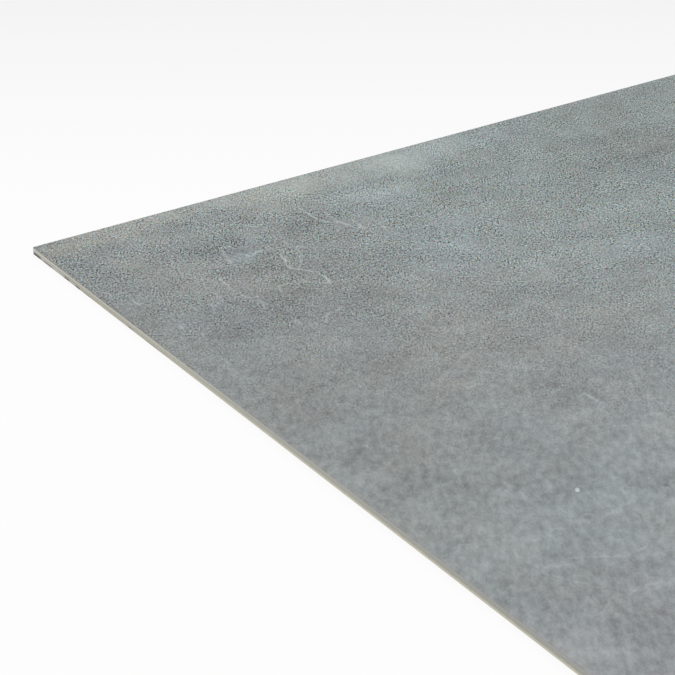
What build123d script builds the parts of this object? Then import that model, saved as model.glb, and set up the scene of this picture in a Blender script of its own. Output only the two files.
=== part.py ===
"""Vinyl floor tile, in millimetres.

One flat square of resilient flooring, cut from a sheet that is laminated from three plies:
a printed film under a clear wear layer, a filled vinyl core, and a thinner backing ply.
The plies are fused over their whole area and cut by one die, so they share one outline.

Frame: the origin is the middle of the underside, +Z points up through the printed face,
and X and Y run along the cut sides. The tile lies on its backing, as it does on a floor.
"""
import os

from build123d import *

# Outline that the cutting die leaves
tile_width = 457.2
tile_length = 457.2
corner_radius = 0.4

# Plies, from the underside up
backing_thickness = 0.35
core_thickness = 1.25
face_thickness = 0.40

# Radius to which the die rolls the wear layer down over the cut side
rolled_edge_radius = 0.15


def die_outline():
    """Flat outline that every ply shares: a square with slightly rounded corners."""
    return RectangleRounded(tile_width, tile_length, corner_radius)


def ply(underside, thickness):
    """Flat sheet of the die's outline, lying on the height given as underside."""
    return Pos(0, 0, underside) * extrude(die_outline(), amount=thickness)


def backing():
    """Balancing ply that meets the floor."""
    return ply(0, backing_thickness)


def core():
    """Mineral-filled vinyl between the backing and the printed face."""
    return ply(backing_thickness, core_thickness)


def printed_face():
    """Printed film and wear layer, with its upper edge rolled over by the die."""
    sheet = ply(backing_thickness + core_thickness, face_thickness)
    upper_edges = sheet.edges().group_by(Axis.Z)[-1]
    return fillet(upper_edges, rolled_edge_radius)


def export_plies():
    """Write each ply to a file of its own, in the frame of the whole tile."""
    os.makedirs("parts", exist_ok=True)
    export_step(backing(), "parts/backing.step")
    export_step(core(), "parts/core.step")
    export_step(printed_face(), "parts/printed_face.step")


export_plies()
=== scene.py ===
"""Vinyl floor tile: finishes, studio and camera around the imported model, in metres and in its frame."""
import logging
import math
from dataclasses import dataclass
from enum import Enum

import bpy
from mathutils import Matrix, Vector


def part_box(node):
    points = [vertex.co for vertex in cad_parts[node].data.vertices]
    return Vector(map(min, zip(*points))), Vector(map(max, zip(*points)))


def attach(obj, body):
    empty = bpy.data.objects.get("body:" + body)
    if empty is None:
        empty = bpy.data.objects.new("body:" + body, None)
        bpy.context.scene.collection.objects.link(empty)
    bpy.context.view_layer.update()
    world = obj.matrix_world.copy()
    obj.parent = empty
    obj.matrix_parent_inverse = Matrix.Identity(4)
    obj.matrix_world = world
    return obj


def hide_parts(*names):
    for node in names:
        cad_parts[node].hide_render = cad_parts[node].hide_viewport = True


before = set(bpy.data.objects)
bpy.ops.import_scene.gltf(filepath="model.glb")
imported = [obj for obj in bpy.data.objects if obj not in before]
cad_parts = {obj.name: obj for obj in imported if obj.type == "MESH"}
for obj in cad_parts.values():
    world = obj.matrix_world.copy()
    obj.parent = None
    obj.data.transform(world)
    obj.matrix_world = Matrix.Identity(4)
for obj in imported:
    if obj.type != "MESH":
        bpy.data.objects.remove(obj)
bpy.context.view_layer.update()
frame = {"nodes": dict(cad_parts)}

MILLIMETRE = 0.001
ROOT_BODY = "root"
# Mean of a noise texture, which is taken off where the noise is to swing about 0
NOISE_MEAN = 0.5
# Where the ridges of the emboss point, in degrees from +Y
GRAIN_TURN = -35.0

log = logging.getLogger("vinyl_floor_tile")

Pair = tuple[float, float]
Socket = bpy.types.NodeSocket
Sockets = bpy.types.bpy_prop_collection


class Ply(Enum):
    """Plies of the laminate, by the names of their nodes."""

    PRINTED_FACE = "printed_face"
    CORE = "core"
    BACKING = "backing"


class ReliefPattern(Enum):
    """Texture kinds that the pressed relief of the face is made from."""

    CLOUDS = "CLOUDS"
    PEBBLES = "VORONOI"


class NodeSheet:
    """Short calls for laying out the nodes of one material or shader group."""

    NUMBER_RESULTS = ("DOT_PRODUCT", "LENGTH", "DISTANCE")
    COLOUR_MIX_INPUTS = (0, 6, 7)
    COLOUR_MIX_OUTPUT = 2
    OVAL_EDGE = (0.25, 1.25)
    STROKE_EDGE = (0.1, 0.5)

    def __init__(self, tree: bpy.types.NodeTree) -> None:
        """Keep the tree that the nodes go into."""
        self.tree = tree

    def add(self, kind: str, **settings: object) -> bpy.types.Node:
        """Add a node and set its plain properties.

        Args:
            kind: The node's class name.
            settings: Property names and values.

        Returns:
            The new node.
        """
        node = self.tree.nodes.new(kind)
        for name, value in settings.items():
            setattr(node, name, value)
        return node

    def feed(self, target: Socket, value: object) -> None:
        """Link a socket to an input, or set the input to a plain value.

        Args:
            target: The input socket.
            value: Another node's output socket, a number, a vector or a colour.
        """
        if isinstance(value, bpy.types.NodeSocket):
            self.tree.links.new(value, target)
        elif value is not None:
            target.default_value = value

    def fed(self, kind: str, *sources: object, **settings: object) -> bpy.types.Node:
        """Add a node and feed its inputs in turn.

        Args:
            kind: The node's class name.
            sources: What the inputs get, with None for an input that is left alone.
            settings: Property names and values.

        Returns:
            The new node.
        """
        node = self.add(kind, **settings)
        for target, source in zip(node.inputs, sources):
            self.feed(target, source)
        return node

    def math(self, operation: str, *operands: object) -> Socket:
        """Work out one number from one or two others."""
        return self.fed("ShaderNodeMath", *operands, operation=operation).outputs[0]

    def scaled_sum(self, value: object, factor: object, addend: object) -> Socket:
        """Return value times factor plus addend."""
        return self.fed("ShaderNodeMath", value, factor, addend, operation="MULTIPLY_ADD").outputs[0]

    def between(self, value: object, low: object, high: object,
                start: object = 0.0, end: object = 1.0) -> Socket:
        """Ease from start to end while value goes from low to high."""
        sources = (value, low, high, start, end)
        return self.fed("ShaderNodeMapRange", *sources, interpolation_type="SMOOTHSTEP").outputs[0]

    def blend(self, factor: object, first: object, second: object) -> Socket:
        """Mix two colours.

        Args:
            factor: 0 gives the first colour and 1 the second.
            first: The first colour.
            second: The second colour.

        Returns:
            The mixed colour's socket.
        """
        node = self.add("ShaderNodeMix", data_type="RGBA")
        for index, source in zip(self.COLOUR_MIX_INPUTS, (factor, first, second)):
            self.feed(node.inputs[index], source)
        return node.outputs[self.COLOUR_MIX_OUTPUT]

    def vector_math(self, operation: str, *vectors: object) -> Socket:
        """Work out a vector, or for some operations a number, from one or two vectors."""
        outputs = self.fed("ShaderNodeVectorMath", *vectors, operation=operation).outputs
        return outputs["Value" if operation in self.NUMBER_RESULTS else "Vector"]

    def scaled(self, vector: object, factor: object) -> Socket:
        """Multiply a vector or a colour by a number."""
        return self.fed("ShaderNodeVectorMath", vector, None, None, factor, operation="SCALE").outputs[0]

    def split(self, vector: object) -> Sockets:
        """Take a vector apart into the sockets X, Y and Z."""
        return self.fed("ShaderNodeSeparateXYZ", vector).outputs

    def noise(self, place: object, size: float, detail: float = 2.0, roughness: float = 0.5,
              distortion: float = 0.0, flat: bool = True) -> Socket:
        """Lay cloudy noise whose blobs are about size across.

        Args:
            place: Coordinates.
            size: Width of the largest blobs, in the unit of the coordinates.
            detail: How many finer layers are added.
            roughness: How strong the finer layers are.
            distortion: How far the blobs are smeared.
            flat: True for a pattern over a plane, False for one in space.

        Returns:
            The noise, from 0 to 1 with a mean of one half.
        """
        node = self.add("ShaderNodeTexNoise", noise_dimensions="2D" if flat else "3D")
        self.feed(node.inputs["Vector"], place)
        node.inputs["Scale"].default_value = 1.0 / size
        node.inputs["Detail"].default_value = detail
        node.inputs["Roughness"].default_value = roughness
        node.inputs["Distortion"].default_value = distortion
        return node.outputs[0]

    def warped(self, place: object, size: float, reach: float, detail: float = 4.0) -> Socket:
        """Shift coordinates about by noise, so that what is laid on them gets ragged outlines.

        Args:
            place: Coordinates.
            size: Width of the swirls, in the unit of the coordinates.
            reach: How far a point is shifted at most, about.
            detail: How many finer layers of swirls are added.

        Returns:
            The shifted coordinates.
        """
        node = self.add("ShaderNodeTexNoise", noise_dimensions="2D")
        self.feed(node.inputs["Vector"], place)
        node.inputs["Scale"].default_value = 1.0 / size
        node.inputs["Detail"].default_value = detail
        centred = self.vector_math("SUBTRACT", node.outputs["Color"], (NOISE_MEAN,) * 3)
        shift = self.vector_math("MULTIPLY", centred, (2.0 * reach, 2.0 * reach, 0.0))
        return self.vector_math("ADD", place, shift)

    def drawn_out(self, place: object, turn: float, stretch: float) -> Socket:
        """Turn coordinates so that what is laid on them is drawn out one way.

        Args:
            place: Coordinates.
            turn: Where the drawn-out way points, in degrees from +Y.
            stretch: How many times longer things get along it.

        Returns:
            The turned coordinates.
        """
        node = self.add("ShaderNodeMapping", vector_type="TEXTURE")
        node.inputs["Rotation"].default_value = (0.0, 0.0, math.radians(turn))
        node.inputs["Scale"].default_value = (1.0, stretch, 1.0)
        self.feed(node.inputs["Vector"], place)
        return node.outputs[0]

    def oval(self, place: object, middle: Pair, reach: Pair) -> Socket:
        """Mask a soft-edged oval.

        Args:
            place: Coordinates.
            middle: The oval's middle.
            reach: Its half sizes.

        Returns:
            The mask, 1 well inside and 0 outside.
        """
        away = self.vector_math("SUBTRACT", place, (*middle, 0.0))
        local = self.vector_math("DIVIDE", away, (*reach, 1.0))
        return self.between(self.vector_math("LENGTH", local), *self.OVAL_EDGE, 1.0, 0.0)

    def stroke(self, place: object, start: Pair, end: Pair) -> Socket:
        """Mask a thin straight line, whose waviness comes from its coordinates.

        Args:
            place: Coordinates, in mm.
            start: One end.
            end: The other end.

        Returns:
            The mask, 1 on the line and 0 half a millimetre beside it.
        """
        first, last = Vector((*start, 0.0)), Vector((*end, 0.0))
        direction = (last - first).normalized()
        beside = direction.cross(Vector((0.0, 0.0, 1.0)))
        away = self.vector_math("SUBTRACT", place, (first + last) / 2.0)
        along = self.math("ABSOLUTE", self.vector_math("DOT_PRODUCT", away, direction))
        beyond = self.math("MAXIMUM", self.math("SUBTRACT", along, (last - first).length / 2.0), 0.0)
        across = self.vector_math("DOT_PRODUCT", away, beside)
        squared = self.scaled_sum(across, across, self.math("MULTIPLY", beyond, beyond))
        return self.between(self.math("SQRT", squared), *self.STROKE_EDGE, 1.0, 0.0)


@dataclass(frozen=True)
class Cloud:
    """One soft patch of the print, placed from the tile's photographed corner.

    Attributes:
        along: Distance of its middle from the corner along the far side, in mm.
        down: Distance of its middle from the corner along the near side, in mm.
        length: Half its size along the far side, in mm.
        width: Half its size along the near side, in mm.
        light: How much lighter the print is there, as a share, or darker where negative.
        warmth: How much browner the print is there, or bluer where negative.
        calm: How much of the grain is missing there, from 0 to 1.
    """

    along: float
    down: float
    length: float
    width: float
    light: float
    warmth: float = 0.0
    calm: float = 0.0


@dataclass(frozen=True)
class Fleck:
    """One small speck of the print, placed as a Cloud is.

    Attributes:
        along: Distance from the corner along the far side, in mm.
        down: Distance from the corner along the near side, in mm.
        radius: Its radius, in mm.
        light: How much lighter the print is there, or darker where negative.
    """

    along: float
    down: float
    radius: float
    light: float


@dataclass(frozen=True)
class Vein:
    """One fine wavy line of the print, drawn through points placed as a Cloud is.

    Attributes:
        points: Distances from the corner along the far side and along the near side, in mm.
        light: How much lighter the print is along it, or darker where negative.
    """

    points: tuple[Pair, ...]
    light: float


@dataclass(frozen=True)
class FootShade:
    """A stretch of painted shade at the foot of the near side, standing in for the shadow in the gap under
    the tile.

    Attributes:
        from_corner: Distance of its middle from the corner, in mm.
        half_length: Half its length, in mm.
        height: How far up the side it reaches, in mm.
        strength: How dark it is, from 0 to 1.
    """

    from_corner: float
    half_length: float
    height: float
    strength: float


@dataclass(frozen=True)
class PlyHeights:
    """Places of the plies' seams and sides, in mm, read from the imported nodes."""

    top: float
    core_bottom: float
    half_width: float
    half_length: float

    @classmethod
    def from_frame(cls) -> "PlyHeights":
        """Read the heights and half sizes from the nodes' boxes."""
        core_low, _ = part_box(Ply.CORE.value)
        _, face_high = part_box(Ply.PRINTED_FACE.value)
        return cls(
            top=face_high.z / MILLIMETRE,
            core_bottom=core_low.z / MILLIMETRE,
            half_width=face_high.x / MILLIMETRE,
            half_length=face_high.y / MILLIMETRE,
        )


class GroupSheet(NodeSheet):
    """The nodes of one shader group, with the sockets that it shows in each material."""

    def __init__(self, name: str, inputs: dict[str, str], outputs: dict[str, str]) -> None:
        """Start the group.

        Args:
            name: The group's name.
            inputs: Input names and socket types.
            outputs: Output names and socket types.
        """
        tree = bpy.data.node_groups.new(name, "ShaderNodeTree")
        for direction, sockets in (("INPUT", inputs), ("OUTPUT", outputs)):
            for socket_name, kind in sockets.items():
                tree.interface.new_socket(socket_name, in_out=direction, socket_type=kind)
        super().__init__(tree)
        self.given = self.add("NodeGroupInput").outputs
        self.result = self.add("NodeGroupOutput").inputs


class EmbossGrain(GroupSheet):
    """The fine leathery emboss: short ridges with pits between them, a little drawn out one way.

    The group turns coordinates in mm and a spacing in mm into a height from 0 to 1, and into specks, as how
    much redder and how much bluer a point is, each about 0.
    """

    STRETCH = 1.8
    SMEAR = 0.5
    CONTRAST = 1.6

    def __init__(self) -> None:
        """Build the group."""
        super().__init__(
            "emboss_grain",
            {"Place": "NodeSocketVector", "Spacing": "NodeSocketFloat"},
            {"Height": "NodeSocketFloat", "Specks": "NodeSocketVector"},
        )
        spaced = self.scaled(self.given["Place"], self.math("DIVIDE", 1.0, self.given["Spacing"]))
        ridges = self.add("ShaderNodeTexNoise", noise_dimensions="2D")
        self.feed(ridges.inputs["Vector"], self.drawn_out(spaced, GRAIN_TURN, self.STRETCH))
        ridges.inputs["Scale"].default_value = 1.0
        ridges.inputs["Detail"].default_value = 0.0
        ridges.inputs["Distortion"].default_value = self.SMEAR
        parts = self.split(self.vector_math("SUBTRACT", ridges.outputs["Color"], (NOISE_MEAN,) * 3))
        self.feed(self.result["Height"], self.scaled_sum(parts["X"], self.CONTRAST, NOISE_MEAN))
        specks = self.add("ShaderNodeCombineXYZ")
        self.feed(specks.inputs["X"], parts["Y"])
        self.feed(specks.inputs["Z"], parts["Z"])
        self.feed(self.result["Specks"], specks.outputs[0])


class CutSide(GroupSheet):
    """The bands that the die's cut shows, by height, with painted shade at their foot.

    The group gives the cut side's colour, its relief and a mask of where the surface is cut. Lengths are in
    mm, and a pair is where a change starts and where it ends.
    """

    UPPER_CREAM = (0.60, 0.60, 0.52, 1.0)
    UPPER_BLEND = 0.25
    CREAM_LIGHT = (0.58, 0.575, 0.49, 1.0)
    CREAM_DARK = (0.46, 0.455, 0.395, 1.0)
    SPECK_SIZE = 0.9
    SPECK_EDGE = (0.3, 0.7)
    RAG_SIZE = 1.6
    RAG_REACH = 0.35
    SEAM = (0.39, 0.385, 0.35, 1.0)
    SEAM_HEIGHT = 1.05
    SEAM_EDGE = (0.04, 0.22)
    SEAM_BREAK_SIZE = 14.0
    SEAM_BREAKS = (0.35, 0.6, 0.35, 1.0)
    SEAM_END = (30.0, 70.0)
    ARRIS = (0.34, 0.35, 0.32, 1.0)
    ARRIS_DROPS = (0.36, 0.08)
    ARRIS_SHARE = 0.85
    ARRIS_END = (30.0, 110.0)
    CORNER_LIGHT = (0.75, 0.75, 0.73, 1.0)
    CORNER_END = (6.0, 26.0)
    CORNER_SHARE = 0.28
    TAN = (0.56, 0.515, 0.405, 1.0)
    TAN_EDGE = (-0.05, 0.2)
    MERGING = (45.0, 120.0)
    MERGED = (0.46, 0.463, 0.415, 1.0)
    FADING = (110.0, 200.0)
    FADED = (0.405, 0.41, 0.38, 1.0)
    FOOT = (0.71, 0.675, 0.54, 1.0)
    FOOT_HEIGHTS = (0.2, 0.95)
    GRAIN_SIZE = 0.5
    UPRIGHT = (0.45, 0.75)
    NEAR_SIDE = (1.5, 3.0)
    SHADE_CORE_LENGTH = 0.4
    SHADE_CORE_HEIGHT = 0.5
    # Painted shade: near-black colour for the shadow in the gap under the tile, at the foot of the near
    # side
    FOOT_SHADE_COLOUR = (0.06, 0.05, 0.045, 1.0)
    FOOT_SHADES = tuple(FootShade(*values) for values in (
        (2.2, 3.6, 1.0, 0.85),
        (8.8, 3.4, 0.65, 0.6),
        (19.8, 2.0, 1.0, 0.55),
        (25.8, 1.5, 0.55, 0.95),
        (31.0, 2.4, 0.4, 0.4),
        (53.6, 1.2, 0.7, 0.45),
        (65.0, 5.5, 0.4, 0.3),
    ))

    def __init__(self, heights: PlyHeights) -> None:
        """Build the group.

        Args:
            heights: The heights of the plies' seams, which the bands follow.
        """
        super().__init__(
            "cut_side",
            {"Place": "NodeSocketVector", "Normal": "NodeSocketVector"},
            {"Color": "NodeSocketColor", "Height": "NodeSocketFloat", "Cut": "NodeSocketFloat"},
        )
        self.heights = heights
        self.place = self.given["Place"]
        self.parts = self.split(self.place)
        self.from_corner = self.math("SUBTRACT", heights.half_length, self.parts["Y"])
        ragged = self.noise(self.place, self.RAG_SIZE, detail=3.0, flat=False)
        self.level = self.scaled_sum(
            self.math("SUBTRACT", ragged, NOISE_MEAN), self.RAG_REACH, self.parts["Z"])
        self.feed(self.result["Color"], self._shaded_foot(self._merged(self._banded())))
        self.feed(self.result["Height"], self.noise(self.place, self.GRAIN_SIZE, detail=2.0, flat=False))
        upright = self.math("ABSOLUTE", self.split(self.given["Normal"])["Z"])
        self.feed(self.result["Cut"], self.between(upright, *self.UPRIGHT, 1.0, 0.0))

    def _banded(self) -> Socket:
        """Lay two creams with a broken, darker seam between them, over a tan foot."""
        specks = self.noise(self.place, self.SPECK_SIZE, detail=3.0, roughness=0.65, flat=False)
        lower = self.blend(self.between(specks, *self.SPECK_EDGE), self.CREAM_DARK, self.CREAM_LIGHT)
        seam = self.SEAM_HEIGHT
        inner, outer = self.SEAM_EDGE
        upper = self.between(self.level, seam, seam + self.UPPER_BLEND)
        banded = self.blend(upper, lower, self.UPPER_CREAM)
        line = self.math("MULTIPLY", self.between(self.level, seam - outer, seam - inner),
                         self.between(self.level, seam + inner, seam + outer, 1.0, 0.0))
        breaks = self.noise(self.place, self.SEAM_BREAK_SIZE, detail=2.0, flat=False)
        shown = self.between(breaks, *self.SEAM_BREAKS)
        shown = self.math("MULTIPLY", shown, self.between(self.from_corner, *self.SEAM_END, 1.0, 0.0))
        banded = self.blend(self.math("MULTIPLY", line, shown), banded, self.SEAM)
        low, high = (self.heights.core_bottom + reach for reach in self.TAN_EDGE)
        return self.blend(self.between(self.level, low, high, 1.0, 0.0), banded, self.TAN)

    def _merged(self, colour: Socket) -> Socket:
        """Merge the bands away from the corner, and beside it lighten them and darken the arris above.

        Args:
            colour: The bands' colour.

        Returns:
            The colour all along the side.
        """
        merged = self.blend(self.between(self.from_corner, *self.FADING), self.MERGED, self.FADED)
        merged = self.blend(self.between(self.level, *self.FOOT_HEIGHTS, 1.0, 0.0), merged, self.FOOT)
        colour = self.blend(self.between(self.from_corner, *self.MERGING), colour, merged)
        lit = self.between(self.from_corner, *self.CORNER_END, self.CORNER_SHARE, 0.0)
        colour = self.blend(lit, colour, self.CORNER_LIGHT)
        low, high = (self.heights.top - drop for drop in self.ARRIS_DROPS)
        arris = self.between(self.parts["Z"], low, high)
        fading = self.between(self.from_corner, *self.ARRIS_END, self.ARRIS_SHARE, 0.0)
        return self.blend(self.math("MULTIPLY", arris, fading), colour, self.ARRIS)

    def _shaded_foot(self, colour: Socket) -> Socket:
        """Darken the foot of the near side with painted shade, standing in for the shadow in the gap under
        the tile.

        Args:
            colour: The side's colour before the painted shade.

        Returns:
            The colour with the painted shade.
        """
        low, high = (reach - self.heights.half_width for reach in self.NEAR_SIDE)
        near_side = self.between(self.parts["X"], low, high, 1.0, 0.0)
        foot_shade: object = 0.0
        for gap_shade in self.FOOT_SHADES:
            offset = self.math("ABSOLUTE", self.math("SUBTRACT", self.from_corner, gap_shade.from_corner))
            core_length = gap_shade.half_length * self.SHADE_CORE_LENGTH
            core_height = gap_shade.height * self.SHADE_CORE_HEIGHT
            along = self.between(offset, core_length, gap_shade.half_length, 1.0, 0.0)
            up = self.between(self.parts["Z"], core_height, gap_shade.height, 1.0, 0.0)
            spot = self.math("MULTIPLY", self.math("MULTIPLY", along, up), gap_shade.strength)
            foot_shade = self.math("MAXIMUM", foot_shade, spot)
        # Painted shade: the foot of the near side is darkened where the gap under the tile lies in shadow
        return self.blend(self.math("MULTIPLY", foot_shade, near_side), colour, self.FOOT_SHADE_COLOUR)


@dataclass(frozen=True)
class ShaderGroups:
    """The shader groups that the finishes share, each built once."""

    emboss: EmbossGrain
    cut_side: CutSide


class Finish:
    """A procedural material on the object's own coordinates, in mm."""

    name = "finish"
    ior = 1.5
    roughness = 0.5

    def __init__(self, groups: ShaderGroups) -> None:
        """Start the material.

        Args:
            groups: The shared shader groups.
        """
        self.groups = groups
        self.material = bpy.data.materials.new(self.name)
        self.material.use_nodes = True
        self.sheet = NodeSheet(self.material.node_tree)
        self.shader = self.material.node_tree.nodes["Principled BSDF"]
        self.shader.inputs["IOR"].default_value = self.ior
        self.shader.inputs["Roughness"].default_value = self.roughness
        coordinates = self.sheet.add("ShaderNodeTexCoord")
        place = self.sheet.add("ShaderNodeMapping")
        place.inputs["Scale"].default_value = (1.0 / MILLIMETRE,) * 3
        self.sheet.feed(place.inputs["Vector"], coordinates.outputs["Object"])
        self.place = place.outputs[0]

    def bump(self, height: Socket, depth: float) -> None:
        """Raise the shading normal by a height.

        Args:
            height: The height, from 0 to 1.
            depth: What a height of 1 stands for, in mm.
        """
        node = self.sheet.add("ShaderNodeBump")
        node.inputs["Strength"].default_value = 1.0
        node.inputs["Distance"].default_value = depth * MILLIMETRE
        self.sheet.feed(node.inputs["Height"], height)
        self.sheet.feed(self.shader.inputs["Normal"], node.outputs[0])

    def use_group(self, group: GroupSheet, **values: float) -> bpy.types.Node:
        """Place a shader group on the material's coordinates.

        Args:
            group: The group.
            values: Plain values for its other inputs.

        Returns:
            Its node.
        """
        node = self.sheet.add("ShaderNodeGroup", node_tree=group.tree)
        self.sheet.feed(node.inputs["Place"], self.place)
        for name, value in values.items():
            node.inputs[name].default_value = value
        return node

    def use_cut_side(self) -> Sockets:
        """Place the cut side and return its outputs."""
        node = self.use_group(self.groups.cut_side)
        geometry = self.sheet.add("ShaderNodeNewGeometry")
        self.sheet.feed(node.inputs["Normal"], geometry.outputs["True Normal"])
        return node.outputs


class CutVinyl(Finish):
    """The die's cut through the filled vinyl of the core."""

    name = "cut_vinyl"
    roughness = 0.7
    DEPTH = 0.06

    def make(self) -> bpy.types.Material:
        """Build the material and return it."""
        cut = self.use_cut_side()
        self.sheet.feed(self.shader.inputs["Base Color"], cut["Color"])
        self.bump(cut["Height"], self.DEPTH)
        return self.material


class BackingVinyl(Finish):
    """The matte underside, finely pebbled so that adhesive keys to it."""

    name = "backing_vinyl"
    roughness = 0.75
    LIGHT = (0.43, 0.41, 0.34, 1.0)
    DARK = (0.33, 0.31, 0.25, 1.0)
    SPACING = 1.1
    CLOUD_SIZE = 30.0
    DEPTH = 0.08

    def make(self) -> bpy.types.Material:
        """Build the material and return it."""
        sheet = self.sheet
        cut = self.use_cut_side()
        grain = self.use_group(self.groups.emboss, Spacing=self.SPACING).outputs["Height"]
        cloud = sheet.noise(self.place, self.CLOUD_SIZE, detail=4.0)
        shade = sheet.scaled_sum(grain, 0.5, sheet.math("MULTIPLY", cloud, 0.5))
        underside = sheet.blend(shade, self.DARK, self.LIGHT)
        sheet.feed(self.shader.inputs["Base Color"], sheet.blend(cut["Cut"], underside, cut["Color"]))
        self.bump(sheet.math("ADD", grain, sheet.math("MULTIPLY", cut["Height"], 0.5)), self.DEPTH)
        return self.material


CLOUDS = tuple(Cloud(*values) for values in (
    (85, 190, 75, 66, 0.08, -0.2),
    (20, 200, 60, 50, 0.10, -0.2),
    (22, 4, 24, 7, 0.30, 0.8),
    (55, 3, 26, 7, 0.26, 0.5),
    (100, 3, 44, 13, 0.34, 0.4, 0.3),
    (115, 12, 11, 11, 0.17, 0.2, 0.3),
    (134, 8, 22, 9, 0.22, -0.4),
    (72, 12, 17, 10, 0.17, 0.5),
    (97, 24, 22, 7, 0.24),
    (43, 31, 13, 9, -0.18),
    (68, 32, 11, 8, -0.20),
    (120, 23, 8, 6, -0.08),
    (42, 45, 12, 7, -0.15),
    (17, 40, 18, 20, 0.04, 0.4),
    (50, 62, 22, 18, -0.08, 0.3),
    (186, 42, 28, 14, -0.27, 0.2, 0.15),
    (180, 26, 24, 12, -0.06, 0.0, 0.2),
    (202, 9, 46, 9, -0.12, 0.0, 0.2),
    (51, 31.5, 3, 4, 0.18, -0.8, 0.4),
    (43.5, 37, 5, 3, 0.18, -0.8, 0.4),
    (33, 70, 18, 12, -0.11),
    (54, 81, 12, 13, -0.18, -0.1),
    (100, 30, 10, 9, 0.07, -0.4),
    (97, 58, 14, 24, 0.08, -0.5),
    (114, 89, 22, 10, 0.14, 0.1),
    (135, 92, 13, 9, 0.06, -0.3),
    (82, 100, 9, 9, -0.12),
    (60, 98, 9, 8, -0.09),
    (109, 117, 16, 10, 0.05, 0.2),
    (25, 90, 18, 8, 0.05, 0.2),
    (50, 106, 36, 14, -0.04, 0.3),
    (10, 114, 13, 16, -0.06, 0.2),
    (44, 126, 10, 6, 0.13, 0.6),
    (77, 126, 12, 7, 0.06, 0.3),
    (64, 141, 9, 9, -0.18, 0.1),
    (90, 140, 9, 14, -0.08, -0.1),
    (15, 138, 15, 8, -0.11, 0.1),
    (14, 152, 9, 6, -0.13, -0.3),
    (4, 145, 7, 5, 0.22),
    (72, 167, 10, 7, 0.09, 0.2),
    (40, 167, 12, 8, -0.15, 0.2),
    (55, 181, 8, 6, -0.23),
    (26, 190, 18, 6, -0.08, -0.2),
    (7, 182, 10, 6, 0.15),
    (14, 198, 20, 8, -0.12),
    (6, 214, 8, 7, 0.18, 0.1),
    (175, 60, 8, 11, -0.14),
    (150, 50, 18, 9, -0.10),
    (20, 216, 14, 9, -0.11),
    (165, 10, 10, 16, -0.09, -0.3),
    (120, 66, 10, 12, -0.08, -0.2),
    (8, 6, 12, 8, 0.0, 0.5),
    (2, 60, 6, 14, -0.06, 0.3),
))
VEINS = tuple(Vein(*values) for values in (
    (((73.5, 20), (73.5, 27.5), (74, 32), (76.5, 34)), 0.75),
    (((77.5, 26.5), (77, 33.5), (78.5, 37.5)), 0.6),
    (((81, 35.5), (81, 38), (80, 41.5)), 0.65),
    (((85.5, 43.5), (84.5, 47)), 0.7),
    (((96.5, 55.5), (94.5, 60)), 0.5),
    (((54.5, 21), (56.5, 24)), 0.75),
    (((57.5, 36.5), (56.5, 40)), 0.5),
    (((57.5, 40), (60, 42), (61.5, 43.5)), 0.4),
    (((53.5, 40), (51.5, 45), (50, 48), (49.5, 51), (51.5, 54), (54, 57), (54, 60), (53.5, 63.5)),
     0.75),
    (((58.5, 40.5), (56.5, 45.5), (54, 49.5), (52, 51.5)), 0.45),
    (((41.5, 36.5), (43.5, 36), (45, 39), (47.5, 37.5), (51, 38), (53.5, 38.5)), 0.6),
    (((40.5, 31), (38.5, 39), (38.5, 42), (40, 44.5)), 0.5),
    (((38.5, 59), (41, 58), (45, 58.5), (48, 59.5), (50.5, 62), (53, 64)), 0.5),
    (((40.5, 58), (40, 61.5)), 0.55),
    (((31, 45.5), (30.5, 52.5), (30.5, 56.5), (31.5, 59.5), (33, 60)), 0.75),
    (((33.5, 60), (32.5, 63.5), (30.5, 67.5)), 0.5),
    (((25, 51), (25.5, 55)), 0.55),
    (((21.5, 56.5), (21, 59), (18, 64)), 0.4),
    (((17, 54.5), (17, 58)), 0.45),
    (((40, 71.5), (43, 73.5)), 0.45),
    (((45, 78), (48, 77)), 0.4),
    (((39.5, 81.5), (42.5, 78.5), (46.5, 80)), 0.4),
    (((34, 76), (33.5, 79.5)), 0.45),
    (((67.5, 144.5), (67.5, 148.5)), 0.45),
    (((20, 190.5), (26, 194), (30.5, 197)), 0.15),
    (((22.5, 206), (26.5, 206), (30, 206.5)), 0.15),
    (((32, 196.5), (35.5, 197)), 0.15),
    (((9, 62.5), (9, 65.5)), 0.55),
    (((11.5, 68), (11, 71)), 0.55),
    (((6, 43.5), (6.5, 45.5), (7, 49)), 0.65),
    (((3, 35.5), (3, 39)), 0.65),
    (((24, 33), (24.5, 35)), -0.6),
    (((24, 41.5), (25.5, 42.5)), -0.6),
    (((15.5, 8), (14.5, 11)), -0.5),
    (((25.5, 58.5), (27, 60)), -0.6),
    (((20.5, 26), (22, 25.5)), -0.5),
    (((29.5, 42.5), (30, 44)), -0.5),
))
FLECKS = tuple(Fleck(*values) for values in (
    (38.5, 174, 0.65, 1.1),
    (39, 173.5, 0.65, 1.1),
    (26.5, 165.5, 0.6, 0.3),
    (33.5, 182.5, 1.0, -0.35),
    (55.0, 183.0, 0.9, -0.3),
))


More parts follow.
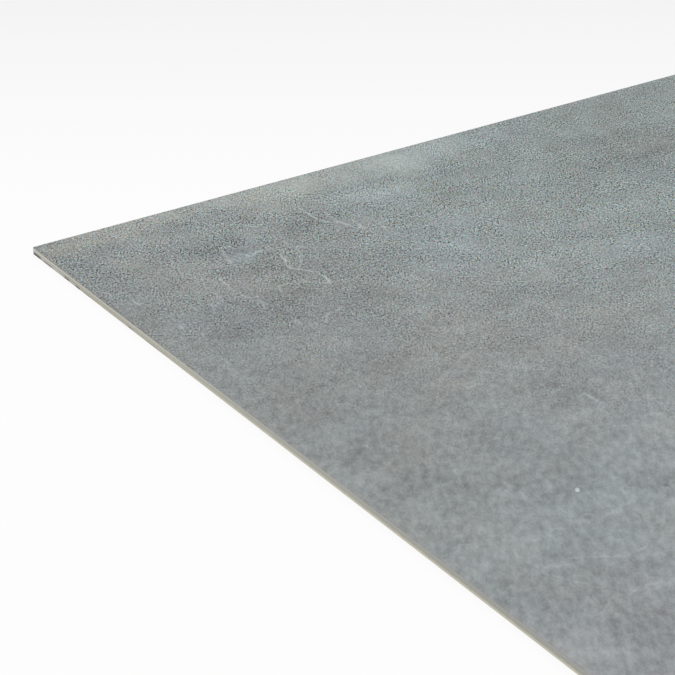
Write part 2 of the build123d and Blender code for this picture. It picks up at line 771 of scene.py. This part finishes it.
class ConcretePrint(Finish):
    """Grey concrete-look print under a satin wear layer with a fine leathery emboss.

    Lengths are in mm, and a pair is where a change starts and where it ends. A shift is what is added to
    red, green and blue, as shares of the colour.
    """

    name = "concrete_print"
    roughness = 0.5
    FAR_TINT = (0.2295, 0.264, 0.260, 1.0)
    NEAR_TINT = (0.236, 0.259, 0.258, 1.0)
    LOW_TINT = (0.246, 0.259, 0.266, 1.0)
    TINT_DIRECTION = (-0.85, 0.52, 0.0)
    TINT_DRIFT = (-110.0, 5.0)
    LOW_DIRECTION = (0.0, 1.0, 0.0)
    LOW_DRIFT = (180.0, 230.0)
    WARM_SHIFT = (0.06, 0.0, -0.065)
    WARM_SIZE = 26.0
    WARM_SWING = 0.9
    RIDGE_SHIFT = (-0.26, 0.0, -0.08)
    SPECK_SHIFT = (1.05, 0.0, 0.75)
    RIM_SHIFT = (0.0, -0.05, -0.05)
    RIM_WIDTH = (0.25, 1.1)
    RIM_PAINTED_LIGHT = 0.12
    RIM_LIT = (30.0, 110.0)
    GRAIN_SPACING = 0.42
    GRAIN_DEPTH = 0.05
    SOFT_SPACING = 1.7
    SOFT_STRETCH = 1.8
    SOFT_SHARE = 0.53
    # How much lighter the emboss's ridges and darker its pits are in the colour: partly print, partly
    # painted shade
    RIDGE_PRINT_AND_SHADE = 1.73
    RIDGE_ROUGHNESS = (0.58, 0.46)
    CALM_MOST = 0.92
    SMOOTH_SPOT_SIZE = 8.0
    SMOOTH_SPOTS = (0.30, 0.75, -0.25, 0.35)
    FADE_DIRECTION = (-0.578, 0.816, 0.0)
    FADE = (-25.0, 120.0)
    FADE_REACH = (235.0, 330.0)
    # Size, smear and strength of each layer
    MOTTLING = ((48.0, 0.0, 0.28), (11.0, 0.0, 0.55), (3.4, 0.8, 0.31))
    # Size and reach of the swirls that shift an outline
    CLOUD_SWIRLS = (14.0, 5.0)
    VEIN_SWIRLS = (3.0, 0.8)
    WEB_SWIRLS = (7.0, 4.5)
    VEIN_BREAK_SIZE = 2.6
    VEIN_BREAKS = (0.36, 0.58, 0.3, 1.15)
    VEIN_CALM = 0.9
    WEB_SIZE = 15.0
    WEB_LINE = (0.006, 0.03)
    WEB_BREAK_SIZE = 12.0
    WEB_BREAKS = (0.46, 0.62)
    WEB_LIGHT = 0.17
    FLECK_CORE = 0.5

    def __init__(self, groups: ShaderGroups, heights: PlyHeights) -> None:
        """Start the material, with coordinates on the print from its photographed corner.

        Args:
            groups: The shared shader groups.
            heights: The tile's seams and half sizes.
        """
        super().__init__(groups)
        self.heights = heights
        on_print = self.sheet.add("ShaderNodeMapping")
        on_print.inputs["Location"].default_value = (heights.half_width, heights.half_length, 0.0)
        on_print.inputs["Scale"].default_value = (1.0, -1.0, 0.0)
        self.sheet.feed(on_print.inputs["Vector"], self.place)
        self.spot = on_print.outputs[0]

    def make(self) -> bpy.types.Material:
        """Build the material and return it."""
        sheet = self.sheet
        quiet = self._quiet()
        drawn = self._veins()
        clouded, warmth, calm = self._clouds(quiet)
        light = sheet.math("ADD", clouded, drawn)
        smooth = sheet.scaled_sum(sheet.math("ABSOLUTE", drawn), self.VEIN_CALM, calm)
        calm = sheet.math("MINIMUM", smooth, self.CALM_MOST)
        web = self._web()
        emboss = self.use_group(self.groups.emboss, Spacing=self.GRAIN_SPACING).outputs
        fine = emboss["Height"]
        drawn_out = sheet.drawn_out(self.place, GRAIN_TURN, self.SOFT_STRETCH)
        soft = sheet.noise(drawn_out, self.SOFT_SPACING)
        loud = sheet.math("SUBTRACT", 1.0, calm)
        crisp = sheet.math("MULTIPLY", sheet.math("SUBTRACT", fine, NOISE_MEAN), loud)
        blurred = sheet.math("MULTIPLY", sheet.math("SUBTRACT", soft, NOISE_MEAN), calm)
        ridges = sheet.scaled_sum(blurred, self.SOFT_SHARE, crisp)
        # Partly print and partly painted shade: the emboss's ridges are made lighter and its pits darker,
        # as the relief's own shading
        light = sheet.scaled_sum(ridges, self.RIDGE_PRINT_AND_SHADE, light)
        light = sheet.scaled_sum(web, self.WEB_LIGHT, light)
        light = sheet.math("ADD", light, self._flecks())
        rim, rim_painted_light = self._rim()
        # Painted light: the rim is lightened along the near side away from the corner, against the shade of
        # the rolled edge
        light = sheet.scaled_sum(rim_painted_light, self.RIM_PAINTED_LIGHT, light)
        shifts = ((self.WARM_SHIFT, warmth), (self.RIDGE_SHIFT, crisp), (self.RIM_SHIFT, rim))
        tint = self._tint(emboss["Specks"], loud, shifts)
        printed = sheet.scaled(tint, sheet.math("ADD", light, 1.0))
        cut = self.use_cut_side()
        sheet.feed(self.shader.inputs["Base Color"], sheet.blend(cut["Cut"], printed, cut["Color"]))
        sheet.feed(self.shader.inputs["Roughness"], sheet.between(fine, 0.0, 1.0, *self.RIDGE_ROUGHNESS))
        pressed = sheet.math("MULTIPLY", fine, sheet.math("SUBTRACT", 1.0, quiet))
        self.bump(pressed, self.GRAIN_DEPTH)
        return self.material

    def _tint(self, specks: Socket, loud: Socket, shifts: tuple[tuple[object, Socket], ...]) -> Socket:
        """Find the print's colour before anything makes it lighter or darker.

        Args:
            specks: The specks of the emboss.
            loud: How much of the emboss is left, from 0 to 1.
            shifts: Shifts, each with how much of it there is.

        Returns:
            The colour.
        """
        sheet = self.sheet
        towards = sheet.vector_math("DOT_PRODUCT", self.spot, self.TINT_DIRECTION)
        base = sheet.blend(sheet.between(towards, *self.TINT_DRIFT), self.FAR_TINT, self.NEAR_TINT)
        low = sheet.vector_math("DOT_PRODUCT", self.spot, self.LOW_DIRECTION)
        base = sheet.blend(sheet.between(low, *self.LOW_DRIFT), base, self.LOW_TINT)
        specks = sheet.vector_math("MULTIPLY", specks, self.SPECK_SHIFT)
        total = sheet.vector_math("ADD", sheet.scaled(specks, loud), (1.0, 1.0, 1.0))
        for shift, amount in shifts:
            total = sheet.vector_math("ADD", sheet.scaled(shift, amount), total)
        return sheet.vector_math("MULTIPLY", base, total)

    def _rim(self) -> tuple[Socket, Socket]:
        """Find the narrow browner rim that the die leaves along the sides, and where painted light lightens
        it.

        Returns:
            A mask of the rim, and a mask of its stretches that get painted light, lifting the shade of the
            rolled edge.
        """
        sheet, heights = self.sheet, self.heights
        parts = sheet.split(self.spot)
        inward: object = heights.half_width
        for half, name in ((heights.half_width, "X"), (heights.half_length, "Y")):
            off_middle = sheet.math("ABSOLUTE", sheet.math("SUBTRACT", parts[name], half))
            inward = sheet.math("MINIMUM", inward, sheet.math("SUBTRACT", half, off_middle))
        rim = sheet.between(inward, *self.RIM_WIDTH, 1.0, 0.0)
        return rim, sheet.math("MULTIPLY", rim, sheet.between(parts["Y"], *self.RIM_LIT))

    def _quiet(self) -> Socket:
        """Fade the emboss out towards the near side, and in scattered smooth spots.

        Returns:
            How much of the emboss is missing, from 0 to 1.
        """
        sheet = self.sheet
        towards = sheet.vector_math("DOT_PRODUCT", self.spot, self.FADE_DIRECTION)
        faded = sheet.between(towards, *self.FADE, 0.0, self.CALM_MOST)
        reach = sheet.vector_math("LENGTH", self.spot)
        faded = sheet.math("MULTIPLY", faded, sheet.between(reach, *self.FADE_REACH, 1.0, 0.0))
        spots = sheet.noise(self.spot, self.SMOOTH_SPOT_SIZE, detail=3.0)
        spots = sheet.between(spots, *self.SMOOTH_SPOTS)
        return sheet.scaled_sum(spots, sheet.math("SUBTRACT", 1.0, faded), faded)

    def _clouds(self, quiet: Socket) -> tuple[Socket, Socket, Socket]:
        """Sum the placed clouds and the noise that mottles the whole print.

        Args:
            quiet: How much of the emboss is missing apart from the placed clouds.

        Returns:
            How light, how warm and how calm the print is.
        """
        sheet = self.sheet
        ragged = sheet.warped(self.spot, *self.CLOUD_SWIRLS)
        light = self._mottling()
        warmth = sheet.noise(self.spot, self.WARM_SIZE, detail=5.0, roughness=0.75)
        warmth = sheet.scaled_sum(warmth, 2.0 * self.WARM_SWING, -self.WARM_SWING)
        for cloud in CLOUDS:
            mask = sheet.oval(ragged, (cloud.along, cloud.down), (cloud.length, cloud.width))
            light = sheet.scaled_sum(mask, cloud.light, light)
            warmth = sheet.scaled_sum(mask, cloud.warmth, warmth) if cloud.warmth else warmth
            quiet = sheet.scaled_sum(mask, cloud.calm, quiet) if cloud.calm else quiet
        return light, warmth, quiet

    def _veins(self) -> Socket:
        """Draw the veins.

        Returns:
            How much lighter or darker the print is along them.
        """
        sheet = self.sheet
        wavy = sheet.warped(self.spot, *self.VEIN_SWIRLS)
        drawn: object = 0.0
        for vein in VEINS:
            line: object = 0.0
            for start, end in zip(vein.points, vein.points[1:]):
                line = sheet.math("MAXIMUM", line, sheet.stroke(wavy, start, end))
            drawn = sheet.scaled_sum(line, vein.light, drawn)
        broken = sheet.between(sheet.noise(self.spot, self.VEIN_BREAK_SIZE), *self.VEIN_BREAKS)
        return sheet.math("MULTIPLY", drawn, broken)

    def _mottling(self) -> Socket:
        """Lay broad clouds, blotches and specks over each other.

        Returns:
            How light the print is, as a share either side of 0.
        """
        sheet = self.sheet
        light: object = 0.0
        for size, smear, strength in self.MOTTLING:
            layer = sheet.noise(self.spot, size, detail=4.0, roughness=0.6, distortion=smear)
            light = sheet.scaled_sum(sheet.math("SUBTRACT", layer, NOISE_MEAN), strength, light)
        return light

    def _web(self) -> Socket:
        """Lay a broken web of fine light lines, as where a concrete skin has crazed.

        Returns:
            A mask of the lines.
        """
        sheet = self.sheet
        bent = sheet.warped(self.spot, *self.WEB_SWIRLS)
        web = sheet.add("ShaderNodeTexVoronoi", voronoi_dimensions="2D", feature="DISTANCE_TO_EDGE")
        sheet.feed(web.inputs["Vector"], bent)
        web.inputs["Scale"].default_value = 1.0 / self.WEB_SIZE
        line = sheet.between(web.outputs["Distance"], *self.WEB_LINE, 1.0, 0.0)
        broken = sheet.between(sheet.noise(self.spot, self.WEB_BREAK_SIZE, detail=3.0), *self.WEB_BREAKS)
        return sheet.math("MULTIPLY", line, broken)

    def _flecks(self) -> Socket:
        """Sum the small specks.

        Returns:
            How much lighter or darker the print is.
        """
        sheet = self.sheet
        total: object = 0.0
        for fleck in FLECKS:
            distance = sheet.vector_math("DISTANCE", self.spot, (fleck.along, fleck.down, 0.0))
            mask = sheet.between(distance, fleck.radius * self.FLECK_CORE, fleck.radius, 1.0, 0.0)
            total = sheet.scaled_sum(mask, fleck.light, total)
        return total


@dataclass(frozen=True)
class ReliefLayer:
    """One layer of the shallow relief that the press plate leaves in the face.

    Attributes:
        name: What the layer is.
        pattern: The kind of texture.
        size: Width of its hollows, in metres.
        depth: Their depth, in metres.
    """

    name: str
    pattern: ReliefPattern
    size: float
    depth: float


@dataclass
class PressedFace:
    """The printed face with its pressed relief, die-rounded corners and rolled upper edge."""

    low: Vector
    high: Vector
    cells: int = 290
    corner_radius: float = 0.4 * MILLIMETRE
    corner_steps: int = 5
    rolled_edge: float = 0.15 * MILLIMETRE
    rolled_steps: int = 3
    flat_rim: float = 2.5 * MILLIMETRE
    relief: tuple[ReliefLayer, ...] = (
        ReliefLayer("trowel_waves", ReliefPattern.CLOUDS, 0.045, 0.00006),
        ReliefLayer("trowel_marks", ReliefPattern.CLOUDS, 0.009, 0.00004),
        ReliefLayer("shallow_pits", ReliefPattern.PEBBLES, 0.006, 0.00002),
    )
    smooth_angle: float = 35.0
    steepest: float = 0.5
    corner_slack: float = 1e-6
    height_slack: float = 1e-7

    def build(self, material: bpy.types.Material) -> bpy.types.Object:
        """Model the face over its node and dress it.

        Args:
            material: The print's material.

        Returns:
            The finished piece.
        """
        bpy.ops.object.select_all(action="DESELECT")
        bpy.ops.mesh.primitive_grid_add(
            x_subdivisions=self.cells, y_subdivisions=self.cells, size=1.0, location=(0.0, 0.0, 0.0))
        piece = bpy.context.active_object
        piece.name = "pressed_face"
        self._shape(piece)
        self._press(piece)
        piece.data.materials.append(material)
        bpy.ops.object.shade_smooth_by_angle(angle=math.radians(self.smooth_angle))
        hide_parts(Ply.PRINTED_FACE.value)
        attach(piece, ROOT_BODY)
        return piece

    def _shape(self, piece: bpy.types.Object) -> None:
        """Size the sheet, round its corners, draw down its sides, roll its edge and close it.

        Args:
            piece: The grid, selected and active.
        """
        size = self.high - self.low
        bpy.ops.object.mode_set(mode="EDIT")
        bpy.ops.mesh.select_all(action="SELECT")
        bpy.ops.transform.resize(value=(size.x, size.y, 1.0), center_override=(0.0, 0.0, 0.0))
        bpy.ops.transform.translate(value=(0.0, 0.0, self.high.z))
        self._select_corners(piece)
        bpy.ops.mesh.bevel(offset=self.corner_radius, segments=self.corner_steps, affect="VERTICES")
        bpy.ops.mesh.select_all(action="SELECT")
        bpy.ops.mesh.region_to_loop()
        bpy.ops.mesh.extrude_edges_move(TRANSFORM_OT_translate={"value": (0.0, 0.0, -size.z)})
        bpy.ops.mesh.edge_face_add()
        self._select_rim(piece)
        bpy.ops.mesh.bevel(offset=self.rolled_edge, segments=self.rolled_steps, affect="EDGES")
        bpy.ops.mesh.select_all(action="SELECT")
        bpy.ops.mesh.normals_make_consistent(inside=False)
        bpy.ops.object.mode_set(mode="OBJECT")

    def _select_corners(self, piece: bpy.types.Object) -> None:
        """Select the sheet's four corner vertices.

        Args:
            piece: The mesh in edit mode.
        """
        bpy.ops.mesh.select_mode(type="VERT")
        bpy.ops.mesh.select_all(action="DESELECT")
        bpy.ops.object.mode_set(mode="OBJECT")
        far_x, far_y = self.high.x - self.corner_slack, self.high.y - self.corner_slack
        for vertex in piece.data.vertices:
            vertex.select = abs(vertex.co.x) > far_x and abs(vertex.co.y) > far_y
        bpy.ops.object.mode_set(mode="EDIT")

    def _select_rim(self, piece: bpy.types.Object) -> None:
        """Select the edges where the upper face meets the sides.

        Args:
            piece: The mesh in edit mode.
        """
        bpy.ops.mesh.select_mode(type="EDGE")
        bpy.ops.mesh.select_all(action="DESELECT")
        bpy.ops.object.mode_set(mode="OBJECT")
        mesh = piece.data
        upper = self.high.z - self.height_slack
        steep: set[tuple[int, int]] = set()
        for polygon in mesh.polygons:
            if abs(polygon.normal.z) < self.steepest:
                steep.update(polygon.edge_keys)
        for edge in mesh.edges:
            first, second = (mesh.vertices[i].co for i in edge.vertices)
            edge.select = min(first.z, second.z) > upper and edge.key in steep
        bpy.ops.object.mode_set(mode="EDIT")

    def _press(self, piece: bpy.types.Object) -> None:
        """Sink the face between its flat rim by each layer of relief.

        Args:
            piece: The closed sheet, selected and active, in object mode.
        """
        group_name = "pressed"
        group = piece.vertex_groups.new(name=group_name)
        inner_x = self.high.x - self.flat_rim
        inner_y = self.high.y - self.flat_rim
        upper = self.high.z - self.height_slack
        inside = [v.index for v in piece.data.vertices
                  if v.co.z > upper and abs(v.co.x) < inner_x and abs(v.co.y) < inner_y]
        group.add(inside, 1.0, "REPLACE")
        for layer in self.relief:
            texture = bpy.data.textures.new(layer.name, layer.pattern.value)
            texture.noise_scale = layer.size
            modifier = piece.modifiers.new(layer.name, "DISPLACE")
            modifier.texture = texture
            modifier.texture_coords = "LOCAL"
            modifier.direction = "Z"
            modifier.mid_level = 1.0
            modifier.strength = layer.depth
            modifier.vertex_group = group_name
            bpy.ops.object.modifier_apply(modifier=layer.name)


@dataclass
class LowerPlies:
    """The core and the backing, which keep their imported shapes."""

    nodes: dict[str, bpy.types.Object]

    def dress(self, materials: dict[Ply, bpy.types.Material]) -> None:
        """Give each ply its finish.

        Args:
            materials: A material for each ply.
        """
        for ply, material in materials.items():
            node = self.nodes[ply.value]
            node.data.materials.clear()
            node.data.materials.append(material)
            log.info("%s: dressed", node.name)


@dataclass
class Studio:
    """Plain pale floor, soft light and the camera of the photograph."""

    corner: Vector
    floor_size: float = 6.0
    floor_roughness: float = 0.9
    floor_light: float = 0.95
    # Painted shade on the floor: where its grey falloff starts and ends, which way it runs, and how deep it
    # gets
    fall_start: float = -0.04
    fall_end: float = 0.50
    fall_direction: tuple[float, float, float] = (0.578, 0.816, 0.0)
    painted_fall_depth: float = 0.179
    glow_share: float = 0.88
    sky_strength: float = 0.80
    softbox_power: float = 8.5
    softbox_size: float = 1.6
    softbox_place: tuple[float, float, float] = (0.9, 1.1, 1.5)
    camera_left: float = 0.1736
    camera_before: float = 0.3873
    camera_height: float = 0.1954
    camera_turn: float = -35.32
    camera_dip: float = 27.96
    focal_pixels: float = 1700.0
    frame_pixels: float = 675.0
    sensor: float = 36.0
    clip: tuple[float, float] = (0.01, 50.0)

    def build(self) -> None:
        """Set up the floor, the light and the camera."""
        self._floor()
        self._sky()
        self._softbox()
        self._camera()
        bpy.context.scene.view_settings.view_transform = "Standard"

    def _floor(self) -> None:
        """Lay a wide white floor with painted shade that greys it a little far behind the tile, and keep
        its shadow soft.
        """
        bpy.ops.object.select_all(action="DESELECT")
        bpy.ops.mesh.primitive_plane_add(size=self.floor_size, location=(0.0, 0.0, 0.0))
        floor = bpy.context.active_object
        floor.name = "floor"
        material = bpy.data.materials.new("studio_floor")
        material.use_nodes = True
        sheet = NodeSheet(material.node_tree)
        shader = material.node_tree.nodes["Principled BSDF"]
        shader.inputs["Roughness"].default_value = self.floor_roughness
        shader.inputs["Specular IOR Level"].default_value = 0.0
        place = sheet.add("ShaderNodeTexCoord").outputs["Object"]
        # Painted shade: the floor's colour, and its glow, fall off to grey away from the tile, as the light
        # falls off
        behind = sheet.vector_math("SUBTRACT", place, tuple(self.corner))
        distance = sheet.vector_math("DOT_PRODUCT", behind, self.fall_direction)
        fall = sheet.between(distance, self.fall_start, self.fall_end)
        far_painted_shade = (1.0 - self.painted_fall_depth,) * 3 + (1.0,)
        colour = sheet.blend(fall, (1.0, 1.0, 1.0, 1.0), far_painted_shade)
        sheet.feed(shader.inputs["Base Color"], sheet.scaled(colour, self.floor_light))
        glow = sheet.add("ShaderNodeEmission")
        sheet.feed(glow.inputs["Color"], colour)
        rays = sheet.add("ShaderNodeLightPath")
        seen = sheet.math("MAXIMUM", rays.outputs["Is Camera Ray"], rays.outputs["Is Glossy Ray"])
        mix = sheet.add("ShaderNodeMixShader")
        sheet.feed(mix.inputs[0], sheet.math("MULTIPLY", seen, self.glow_share))
        sheet.feed(mix.inputs[1], shader.outputs[0])
        sheet.feed(mix.inputs[2], glow.outputs[0])
        sheet.feed(material.node_tree.nodes["Material Output"].inputs["Surface"], mix.outputs[0])
        floor.data.materials.append(material)

    def _sky(self) -> None:
        """Surround the tile with even white light, and show the camera plain white."""
        world = bpy.data.worlds.new("studio_white")
        world.use_nodes = True
        bpy.context.scene.world = world
        sheet = NodeSheet(world.node_tree)
        background = world.node_tree.nodes["Background"]
        rays = sheet.add("ShaderNodeLightPath")
        background.inputs["Color"].default_value = (1.0, 1.0, 1.0, 1.0)
        sheet.feed(background.inputs["Strength"],
                   sheet.between(rays.outputs["Is Camera Ray"], 0.0, 1.0, self.sky_strength, 1.0))

    def _softbox(self) -> None:
        """Hang a large soft light high behind the tile."""
        lamp = bpy.data.lights.new("softbox", "AREA")
        lamp.shape = "SQUARE"
        lamp.size = self.softbox_size
        lamp.energy = self.softbox_power
        box = bpy.data.objects.new("softbox", lamp)
        bpy.context.scene.collection.objects.link(box)
        box.location = self.softbox_place
        box.rotation_mode = "QUATERNION"
        box.rotation_quaternion = (-box.location).to_track_quat("-Z", "Y")

    def _camera(self) -> None:
        """Stand the camera where the photograph was taken from."""
        data = bpy.data.cameras.new("camera")
        data.sensor_width = self.sensor
        data.lens = self.focal_pixels / self.frame_pixels * self.sensor
        data.clip_start, data.clip_end = self.clip
        camera = bpy.data.objects.new("camera", data)
        bpy.context.scene.collection.objects.link(camera)
        camera.location = (self.corner.x - self.camera_left, self.corner.y - self.camera_before,
                           self.camera_height)
        camera.rotation_euler = (math.radians(90.0 - self.camera_dip), 0.0, math.radians(self.camera_turn))
        bpy.context.scene.camera = camera


def main() -> None:
    """Build the tile's pieces and the studio."""
    logging.basicConfig(level=logging.INFO)
    heights = PlyHeights.from_frame()
    groups = ShaderGroups(emboss=EmbossGrain(), cut_side=CutSide(heights))
    low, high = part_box(Ply.PRINTED_FACE.value)
    face = PressedFace(low, high).build(ConcretePrint(groups, heights).make())
    log.info("%s: %d faces", face.name, len(face.data.polygons))
    LowerPlies(frame["nodes"]).dress({
        Ply.CORE: CutVinyl(groups).make(),
        Ply.BACKING: BackingVinyl(groups).make(),
    })
    Studio(corner=Vector((low.x, high.y, high.z))).build()


if __name__ == "__main__":
    main()
